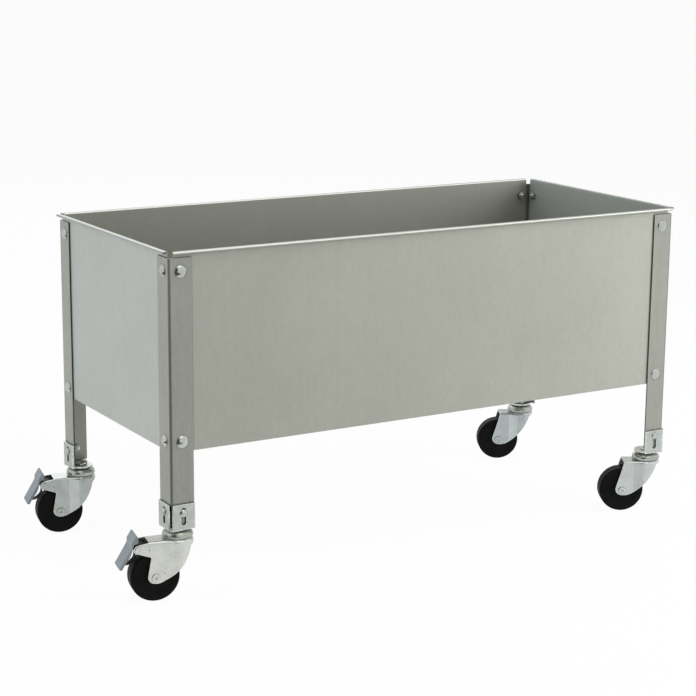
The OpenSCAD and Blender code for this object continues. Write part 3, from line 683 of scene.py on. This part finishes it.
SLOT_MATERIALS = {
    "galvanised_sheet": SHEET_STEEL, "galvanised_angle": ANGLE_STEEL, "zinc_plate": ZINC,
    "black_wheel": TREAD, "black_steel": BLACK_STEEL, "grey_plastic": PEDAL_GREY,
}
for part in frame["record"]["subparts"]:
    mesh = nodes[part["node"]].data
    mesh.materials.clear()
    mesh.materials.append(SLOT_MATERIALS[part["material_slot"]])
# The end panels take the lighter copy of the sheet, painted light
for end_panel in ("left_end_panel", "right_end_panel"):
    nodes[end_panel].data.materials[0] = PAINTED_END_STEEL


# ---------------------------------------------------------------- caster pieces, +X towards the wheel
def on_corner(obj, corner, part, body, slot, look, matrix, *replaced):
    """A copy of a caster piece for one corner, in its place and tied to its body."""
    copy = repeat(obj, corner + "_" + part)
    place(copy, matrix)
    return on_body(copy, body, slot, look, *replaced)


def fork_plan(inset, front):
    """The fork from above: a round back that tapers to two flat cheeks."""
    w, r = CHEEK - inset, BACK_R - inset
    turn = degrees(atan2(w, CREASE) + acos(r / hypot(CREASE, w)))
    return arc(0, 0, r, turn, 360 - turn, 36) + [(CREASE, -w), (front, -w), (front, w), (CREASE, w)]


def braked_side():
    """A braked fork's cheek from the side: sweeping back edge, lobe at the axle, arm to the brake pin."""
    t, top = TRAIL[True], FORK_Z[True]
    pin_x, pin_z = t + PIN_X, top - PIN_DROP
    under = pin_z - 10.5
    return ([(-BACK_R - 2, top + 2), (-BACK_R - 2, top - 3.6)]
            + arc(t + 19.4, AXLE_Z + 55, 67.2, 194, 244.5, 24)
            + arc(t - 0.9, AXLE_Z + 12.4, 20, 246, 280, 8)
            + arc(t + 1.2, AXLE_Z + 1.4, LOBE_R, -78, 12, 12)
            + arc(t + 8.8, under - 3, 3, 180, 97, 7)
            + arc(pin_x, pin_z, ARM_R, -85, 90, 14)
            + [(t + 7, top - 0.6), (t + 5.8, top), (t + 5.8, top + 2)])


def plain_side():
    """A plain fork's cheek from the side: sweeping back edge and lobe at the axle."""
    t, top = TRAIL[False], FORK_Z[False]
    return ([(-BACK_R - 2, top + 2), (-BACK_R - 2, top - 1.2)]
            + arc(t + 49.4, AXLE_Z + 81, 107.3, 203, 230, 20)
            + arc(t - 2.8, AXLE_Z + 17.5, 25, 231, 283, 14)
            + arc(t + 0.5, AXLE_Z + 1.7, LOBE_R, -76, 14, 12)
            + [(t - 3, top), (t - 3, top + 2)])


def tidy_faces(obj):
    """Clears the slivers that a boolean leaves."""
    take(obj)
    bpy.ops.object.mode_set(mode="EDIT")
    bpy.ops.mesh.select_all(action="SELECT")
    bpy.ops.mesh.remove_doubles(threshold=0.00002)
    bpy.ops.mesh.dissolve_limited(angle_limit=radians(0.5))
    bpy.ops.object.mode_set(mode="OBJECT")
    return obj


def dent(x, y, z, radius, sink):
    """A ball that leaves a round dimple in a face across Y."""
    deselect()
    outside = radius - sink
    bpy.ops.mesh.primitive_uv_sphere_add(segments=24, ring_count=16, radius=radius * MM)
    ball = bpy.context.object
    return place(ball, shift(x, y + (outside if y > 0 else -outside), z))


def make_fork(name, trail, top, side, notch, dents):
    """A pressed fork: hollow plan, cut to its side outline, notched over the brake and dimpled."""
    front = trail + 40
    body = plan_prism(name, fork_plan(0, front), AXLE_Z - 12, top)
    bevel_where(body, lambda a, b: min(a.z, b.z) > top - 0.1, 3.0, 9)
    hollow = plan_prism("hollow", fork_plan(FORK_T, front + 3), AXLE_Z - 14, top - FORK_T)
    bevel_where(hollow, lambda a, b: min(a.z, b.z) > top - FORK_T - 0.1, 1.2, 3)
    cut(body, hollow)
    combine(body, side_prism("side", side, 2 * CHEEK), "INTERSECT")
    if notch:
        gap = plan_prism("gap", [(notch, -INNER), (front, -INNER), (front, INNER), (notch, INNER)], 0,
                         top + 5)
        bevel_where(gap, lambda a, b: max(a.x, b.x) < notch + 0.1 and abs(a.z - b.z) > 10, 2.0, 5)
        cut(body, gap)
    for x, z in dents:
        for y in (-CHEEK, CHEEK):
            cut(body, dent(x, y, z, DENT_R, DENT_SINK))
    tidy_faces(body)

    def on_crease(a, b):
        return (abs(a.x - b.x) < 0.2 and abs(a.x - CREASE) < 0.6 and abs(abs(a.y) - CHEEK) < 0.4
                and abs(a.z - b.z) > 3)

    soften(body, 0.45, 3, 34, on_crease)
    # The raised ring round the swivel
    race = [(17.2, top - 0.8), (17.2, top + 0.1)] + arc(18.2, top - 0.1, 0.8, 150, -60, 10)
    race += [(18.2, top - 1.2), race[0]]
    ring = smooth(lathe("ring", race, 72), 60)
    return join(name, [body, ring])


def rivet(name, radius, shank, half, height, cup):
    """A pin with two formed heads, along Y; each head has a shallow cup in its end."""
    end = half + height
    profile = [(ON_AXIS, end - cup), (radius * 0.34, end - cup), (radius * 0.46, end - 0.15),
               (radius * 0.56, end)]
    profile += arc(radius - RIVET_ROUND, end - RIVET_ROUND, RIVET_ROUND, 80, 0, 6)
    profile += [(radius, half), (shank, half - 0.01), (shank, 0)]
    profile += [(r, -z) for r, z in reversed(profile[:-1])]
    pin = lathe(name, profile, 40)
    place(pin, turned(90, "X"))
    return smooth(pin, 40)


def make_wheel():
    """Dished sides with a hub ring, round shoulders and a fine parting line round the tread."""
    half, r = WHEEL_HALF, WHEEL_R
    side = [(4.8, half - 0.3), (5.2, half), (9.4, half), (9.9, half - 0.15), (10.5, half - 0.6),
            (22.0, half - 0.65), (22.7, half - 0.5), (23.3, half)]
    side += arc(r - SHOULDER_R, half - SHOULDER_R, SHOULDER_R, 90, 8, 10)
    side += [(r, 6), (r, 0.5), (r + 0.12, 0.18)]
    side += [(a, -b) for a, b in reversed(side)]
    wheel = lathe("wheel", side, 96)
    place(wheel, turned(90, "X"))
    return smooth(wheel, 35)


def make_cup():
    """The race cup: a dome that rolls in at its foot."""
    profile = [(BORE_R, CUP_H), (9.0, CUP_H), (9.6, 11.2), (11.4, 11.2)]
    profile += arc(12.0, 9.5, 2.0, 92, 50, 6) + arc(12.9, 3.0, 6.8, 50, 0, 12)
    profile += arc(17.6, 2.1, 2.1, 0, -85, 9)
    profile += [(17.3, 0.2), (17.3, 4.3), (BORE_R, 4.3)]
    return smooth(lathe("cup", profile, 72), 40)


def make_kingpin(length):
    """A hollow rivet with a flanged foot and a rolled head."""
    head = length - PIN_HEAD_H
    profile = [(3.0, 0), (7.9, 0), (8.5, 0.4), (8.5, 1.6), (8.1, PIN_FOOT_H), (BORE_R, PIN_FOOT_H),
               (BORE_R, head), (7.0, head), (7.5, length - 1.2), (7.3, length - 0.3), (6.6, length),
               (3.9, length), (3.2, length - 0.5), (3.0, length - 1.4)]
    pin = lathe("kingpin", profile + profile[:1], 48)
    return smooth(pin, 35)


def make_pedal():
    """The foot pedal: a ramp with a hood over the fork's arms."""
    outline = [(2.2, 18.4), (8.2, 8.8), (8.2, 3.2), (24.2, -24.0), (20.8, -25.0), (15.9, -16.4), (10.4, -9.2),
               (8.4, -5.0), (7.0, -1.0), (6.8, 2.4), (4.6, 7.4), (-0.4, 8.8), (-0.4, 15.8), (0.6, 18.0)]
    pedal = side_prism("pedal", outline, PEDAL_HALF)
    bevel_where(pedal, lambda a, b: abs(a.y - b.y) > 20 and min(a.z, b.z) > 2 and max(a.x, b.x) > 2,
                1.1, 4)
    tidy_faces(pedal)
    soften(pedal, 0.6, 3, 32)
    return pedal


def make_lever():
    """The brake lever round its pin, with a shoe that points at the axle."""
    outline = [(3.6, 6.8), (-0.4, 6.3), (-4.8, 5.8), (-12.5, 3.9), (-12.5, 2.4), (-4.6, -3), (-2.0, -4.2)]
    plate = side_prism("lever", outline + arc(0, 0, EYE_R, -110, 45, 12), LEVER_HALF)
    reach = hypot(PIN_X, PIN_Z - AXLE_Z) - WHEEL_R - SHOE_GAP
    turn = degrees(atan2(-(PIN_Z - AXLE_Z), -PIN_X))
    shoe = side_prism("shoe", [(0, -SHOE_HALF), (reach, -SHOE_HALF), (reach, SHOE_HALF), (0, SHOE_HALF)],
                      LEVER_HALF)
    place(shoe, turned(-turn, "Y"))
    combine(plate, shoe, "UNION")
    tidy_faces(plate)
    return soften(plate, 0.4, 3, 32)


def make_leaf():
    """The leaf from the lever down to the pedal's foot."""
    path = [(1.2, -3.8), (1.3, -8.4), (1.9, -12.4), (3.4, -15.2), (5.8, -17.6), (8.4, -19.7), (11.2, -20.9),
            (15.0, -21.3), (20.2, -21.4)]
    leaf = draw_line("leaf", [(x, -LEAF_HALF, z) for x, z in path], False)
    bpy.ops.object.mode_set(mode="EDIT")
    bpy.ops.mesh.select_all(action="SELECT")
    bpy.ops.mesh.extrude_region_move(TRANSFORM_OT_translate={"value": (0, 2 * LEAF_HALF * MM, 0)})
    bpy.ops.object.mode_set(mode="OBJECT")
    modify(leaf, "SOLIDIFY", thickness=LEAF_T * MM, offset=0)
    return soften(leaf, 0.3, 2, 50)


def angle_plan(width, thick, r, start=0.0):
    """An angle bar from above, flanges along +X and +Y, its outer corner rounded."""
    outer = arc(r, r, r, 180, 270, 8)
    inner = arc(r, r, r - thick, 270, 180, 8)
    points = [(0, width)] + outer + [(width, 0), (width, thick)] + inner + [(thick, width)]
    return [(x + start, y + start) for x, y in points]


def slot_prism(width, height, depth):
    """A round-ended slot tool, upright, through -Y."""
    run = (height - width) / 2
    points = arc(0, run, width / 2, 0, 180, 16) + arc(0, -run, width / 2, 180, 360, 16)
    return prism("slot", [(x, -depth, z) for x, z in points], (0, 2 * depth, 0))


def make_clasp():
    """Two slotted flanges on a round-ended base, a slit down the bend, the inner corner at the origin."""
    t, r = PLATE_T, CLASP_R
    flanges = plan_prism("clasp", angle_plan(CLASP_W, t, r, -t), 1.0, CLASP_H)
    plate = [(x - t, y - t) for x, y in arc(r, r, r, 180, 270, 8)]
    base = plan_prism("base", plate + arc(SWIVEL_IN, SWIVEL_IN, PLATE_R, -90, 180, 44), 0, t)
    combine(flanges, base, "UNION")
    flare = CLASP_H - FLARE_H
    slit = prism("slit", [(-1, -SLIT_HALF, t), (-1, SLIT_HALF, t), (-1, SLIT_HALF, flare),
                          (-1, SLIT_FLARE, CLASP_H + 1), (-1, -SLIT_FLARE, CLASP_H + 1),
                          (-1, -SLIT_HALF, flare)], (1 + 2 * r, 0, 0))
    place(slit, shift(-t, -t, 0) @ turned(45, "Z"))
    cut(flanges, slit)
    for spot in (shift(SWIVEL_IN, 0, SLOT_Z + SLOT_H / 2),
                 shift(0, SWIVEL_IN, SLOT_Z + SLOT_H / 2) @ turned(90, "Z")):
        cut(flanges, place(slot_prism(SLOT_W, SLOT_H, 8.0), spot))
    bore = place(cylinder("bore", BORE_R, -2, t + 2, 40), shift(SWIVEL_IN, SWIVEL_IN, 0))
    cut(flanges, bore)
    tidy_faces(flanges)
    return soften(flanges, 0.45, 3, 34)


def dome_bolt(name, d, head_d, head_h, seat, length):
    """A domed bolt with its shank up +Z, its head's seat at z = seat and thread at its end."""
    rise = head_h - 0.5
    ball = (head_d * head_d / 4 + rise ** 2) / (2 * rise)
    half_angle = degrees(atan2(head_d / 2, ball - rise))
    dome = arc(0, seat + ball - head_h, ball, -90, half_angle - 90, 14)
    profile = [(max(x, ON_AXIS), z) for x, z in dome]
    profile += [(head_d / 2, seat - 0.1), (head_d / 2 - 0.15, seat), (d / 2, seat),
                (d / 2, length - THREAD_L)]
    z = length - THREAD_L
    while z < length - 0.6:
        profile += [(d / 2 - THREAD_DEPTH, z + PITCH / 2), (d / 2, z + PITCH)]
        z += PITCH
    profile += [(d / 2 - 0.6, length), (ON_AXIS, length)]
    return smooth(lathe(name, profile, 40), 40)


def hex_nut(name, flats, height, at):
    """A hex nut with turned-down corners, its seat at z = at."""
    nut = cylinder(name, flats / 2 / cos(pi / 6), at, at + height, 6)
    r = flats / 2
    crown = lathe("crown", [(ON_AXIS, at - 1), (r + 3, at - 1), (r + 3, at), (r + 3, at + height - 2.0),
                            (r * 0.94, at + height), (ON_AXIS, at + height)], 48)
    combine(nut, crown, "INTERSECT")
    return smooth(nut, 25)


def flange_turn(flange):
    """From +Z to inwards through one flange of a corner."""
    return turned(-90, "X") if flange == 0 else turned(90, "Z") @ turned(90, "X")


def flange_spot(flange, reach, z):
    """A point on one flange of a corner, at a distance from the bend."""
    return shift(reach, 0, z) if flange == 0 else shift(0, reach, z)


def set_of(name, model, reach, heights, replaced):
    """Copies of one bolt or nut on both flanges of all four legs, joined as one piece."""
    made = []
    for corner in CORNERS:
        for flange in (0, 1):
            for z in heights:
                one = repeat(model, name + "_copy")
                place(one, at_corner(corner) @ flange_spot(flange, reach, z) @ flange_turn(flange))
                made.append(one)
    bpy.data.objects.remove(model)
    return on_body(join(name, made), "tub", "zinc_plate", BOLT_ZINC, replaced)


def make_fasteners():
    set_of("panel_bolt_set", dome_bolt("bolt", BOLT_D, HEAD_D, HEAD_H, 0.0, LEG_T + SHEET + BOLT_PAST),
           BOLT_IN, BOLT_ZS, "panel_bolts")
    set_of("panel_nut_set", hex_nut("nut", NUT_FLATS, NUT_H, LEG_T + SHEET), BOLT_IN, BOLT_ZS, "panel_nuts")
    set_of("caster_bolt_set",
           dome_bolt("small_bolt", SMALL_D, SMALL_HEAD_D, SMALL_HEAD_H, -PLATE_T, LEG_T + SMALL_PAST),
           SWIVEL_IN, (CASTER_BOLT_Z,), "caster_bolts")
    set_of("caster_nut_set", hex_nut("small_nut", SMALL_NUT_FLATS, SMALL_NUT_H, LEG_T),
           SWIVEL_IN, (CASTER_BOLT_Z,), "caster_nuts")


def make_legs():
    """Angle legs in three materials: the flanges, their cut edges, darker as bare steel and as a painted
    shade line, and the bend, a darker copy painted as shade.
    """
    leg = plan_prism("leg", angle_plan(LEG_W, LEG_T, LEG_R), LEG_BOTTOM, LEG_TOP)
    soften(leg, 0.25, 2, 50)
    for steel in (ANGLE_STEEL, CUT_EDGE_AND_SHADE, SHADED_BEND_STEEL):
        leg.data.materials.append(steel)
    for corner in CORNERS:
        one = repeat(leg, corner + "_angle")
        for face in one.data.polygons:
            spot = face.center / MM
            edge = spot.x > LEG_W - 0.3 or spot.y > LEG_W - 0.3
            bent = spot.x < LEG_R and spot.y < LEG_R and abs(face.normal.z) < 0.5
            face.material_index = 1 if edge else 2 if bent else 0
        place(one, at_corner(corner))
        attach(one, "tub")
        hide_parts(corner + "_leg")
    bpy.data.objects.remove(leg)


def paint_taper_reflection(fork, swivel, zinc):
    """A painted reflection: the tapered sides of a fork get another zinc tone, as they mirror another part of
    the room than its cheeks do.
    """
    fork.data.materials.append(zinc)
    back = swivel.inverted()
    for face in fork.data.polygons:
        spot = (back @ face.center) / MM
        if TAPER_START < spot.x < CREASE - 0.1 and abs(spot.y) > CHEEK + 0.2 and abs(face.normal.z) < 0.3:
            face.material_index = 1


def make_casters():
    braked_trail, braked_top = TRAIL[True], FORK_Z[True]
    forks = {
        True: make_fork("fork_braked", braked_trail, braked_top, braked_side(), braked_trail + NOTCH_PAST,
                        [(braked_trail + 9.2, braked_top - 9.5), (braked_trail - 10.5, AXLE_Z + 5.9)]),
        False: make_fork("fork_plain", TRAIL[False], FORK_Z[False], plain_side(), None, []),
    }
    wheel, cup, clasp = make_wheel(), make_cup(), make_clasp()
    axle = rivet("axle", radius=5.0, shank=3.0, half=CHEEK, height=1.8, cup=1.2)
    brake_pin = rivet("brake_pin", radius=4.0, shank=2.5, half=CHEEK, height=1.2, cup=0.35)
    pedal, lever, leaf = make_pedal(), make_lever(), make_leaf()
    for corner, facts in CORNERS.items():
        has_brake = facts["braked"]
        trail, top = TRAIL[has_brake], FORK_Z[has_brake]
        cup_z = top + RACE_GAP
        clasp_z = cup_z + CUP_H
        foot_z = top - FORK_T - RUN_GAP - PIN_FOOT_H
        swivel = at_swivel(corner)
        at_clasp = at_corner(corner) @ shift(0, 0, clasp_z)
        at_cup, at_foot = swivel @ shift(0, 0, cup_z), swivel @ shift(0, 0, foot_z)
        at_axle = swivel @ shift(trail, 0, AXLE_Z)
        at_pin = swivel @ shift(trail + PIN_X, 0, PIN_Z)
        caster, roller, brake = corner + "_caster", corner + "_roller", corner + "_brake"
        fork = on_corner(forks[has_brake], corner, "pressed_fork", caster, "zinc_plate", FORK_ZINC_PAINTED_LIGHT[corner],
                         swivel, corner + "_fork")
        if corner in TAPER_ZINC_PAINTED_REFLECTION:
            paint_taper_reflection(fork, swivel, TAPER_ZINC_PAINTED_REFLECTION[corner])
        kingpin = make_kingpin(clasp_z + PLATE_T + PIN_HEAD_H - foot_z)
        pieces = [
            (wheel, "moulded_wheel", roller, "black_wheel", TREAD, at_axle, "wheel"),
            (axle, "axle_rivet", caster, "zinc_plate", FORK_ZINC_PAINTED_LIGHT[corner], at_axle, "axle"),
            (cup, "swivel_cup", "tub", "zinc_plate", CUP_ZINC, at_cup, "race_cup"),
            (clasp, "clasp", "tub", "zinc_plate", CLASP_ZINC, at_clasp, "bracket"),
            (kingpin, "hollow_pin", "tub", "zinc_plate", ZINC, at_foot, "kingpin"),
        ]
        if has_brake:
            pieces += [
                (brake_pin, "pin_rivet", caster, "zinc_plate", FORK_ZINC_PAINTED_LIGHT[corner], at_pin, "brake_pin"),
                (pedal, "foot_pedal", brake, "grey_plastic", PEDAL_GREY, at_pin, "brake_pedal"),
                (lever, "brake_cam", brake, "black_steel", BLACK_STEEL, at_pin, "brake_lever"),
                (leaf, "spring_leaf", brake, "black_steel", BLACK_STEEL, at_pin, "brake_leaf"),
            ]
        for model, part, body, slot, look, matrix, replaced in pieces:
            on_corner(model, corner, part, body, slot, look, matrix, corner + "_" + replaced)
        bpy.data.objects.remove(kingpin)
    for spare in (*forks.values(), wheel, cup, clasp, axle, brake_pin, pedal, lever, leaf):
        bpy.data.objects.remove(spare)


make_casters()
make_fasteners()
make_legs()


# ---------------------------------------------------------------- room
FLOOR_SIZE, FLOOR_WHITE, FLOOR_GLOW = 40, 0.9, 0.95
SOFT_LIGHT = 0.31

# Name, width and length in metres, place, lean from flat in degrees
CARDS = (
    ("standing_card", (2.9, 3.6), (-3.3, -2.5, 1.8), 90),
    ("lying_card", (1.5, 2.4), (-1.57, -1.05, 0.002), 0),
)
CARD_TURN, CARD_BLACK = -54, 0.02

# Name, place, aim, size, watts, colour, whether metal mirrors it
LAMPS = (
    ("right", (1.6, -1.2, 0.85), (0.3, -0.15, 0.25), 1.5, 50, (0.96, 0.98, 1.0), False),
    ("left", (-2.9, 0.7, 1.35), (-0.3, 0.1, 0.2), 2.6, 62, (0.94, 0.99, 1.0), False),
    ("above", (-0.2, -1.1, 2.7), (0, 0, 0.3), 1.5, 9, (1.0, 1.0, 1.0), True),
    ("behind", (0.6, 2.9, 1.8), (0, 0, 0.25), 2.2, 18, (1.0, 1.0, 1.0), True),
)


def add_floor():
    """A pale floor that takes shadows and shows nearly white."""
    deselect()
    bpy.ops.mesh.primitive_plane_add(size=FLOOR_SIZE, location=(0, 0, 0))
    ground = bpy.context.object
    ground.name = "studio_floor"
    made, tree, shader = material("pale_floor", 0.0, 0.9, 0.1)
    shader.inputs["Base Color"].default_value = (FLOOR_WHITE, FLOOR_WHITE, FLOOR_WHITE, 1)
    glow = node(tree, "Emission", Color=(1, 1, 1, 1), Strength=1.0)
    mix = node(tree, "MixShader")
    out = tree.nodes["Material Output"]
    share = calculate(tree, "MULTIPLY", background_rays(tree), FLOOR_GLOW)
    link(tree, (share, mix.inputs[0]), (shader.outputs[0], mix.inputs[1]), (glow.outputs[0], mix.inputs[2]),
         (mix.outputs[0], out.inputs["Surface"]))
    ground.data.materials.append(made)


def add_world():
    """Soft light from all round, white where it is seen or mirrored."""
    world = bpy.data.worlds.new("studio")
    bpy.context.scene.world = world
    world.use_nodes = True
    tree = world.node_tree
    tree.nodes.clear()
    out = node(tree, "OutputWorld")
    soft = node(tree, "Background", Color=(0.98, 0.99, 1, 1), Strength=SOFT_LIGHT)
    white = node(tree, "Background", Color=(1, 1, 1, 1), Strength=1.0)
    mix = node(tree, "MixShader")
    link(tree, (background_rays(tree), mix.inputs[0]), (soft.outputs[0], mix.inputs[1]),
         (white.outputs[0], mix.inputs[2]), (mix.outputs[0], out.inputs["Surface"]))


def add_cards():
    """Dark cards on the camera's side, which only mirroring surfaces show."""
    black, tree, shader = material("dark_card", 0.0, 0.9, 0.0)
    shader.inputs["Base Color"].default_value = (CARD_BLACK, CARD_BLACK, CARD_BLACK, 1)
    for name, size, spot, lean in CARDS:
        deselect()
        bpy.ops.mesh.primitive_plane_add(size=1)
        card = bpy.context.object
        card.name = name
        card.scale = (*size, 1)
        card.rotation_euler = (radians(lean), 0, radians(CARD_TURN))
        card.location = spot
        card.data.materials.append(black)
        card.visible_camera = card.visible_diffuse = card.visible_shadow = False
        card.visible_transmission = False


def add_lamps():
    for name, spot, aim, size, watts, color, mirrored in LAMPS:
        bpy.ops.object.light_add(type="AREA", location=spot)
        lamp = bpy.context.object
        lamp.name = name
        lamp.data.size = size
        lamp.data.energy = watts
        lamp.data.color = color
        lamp.visible_glossy = mirrored
        lamp.rotation_euler = (Vector(aim) - Vector(spot)).to_track_quat("-Z", "Y").to_euler()


add_floor()
add_world()
add_cards()
add_lamps()
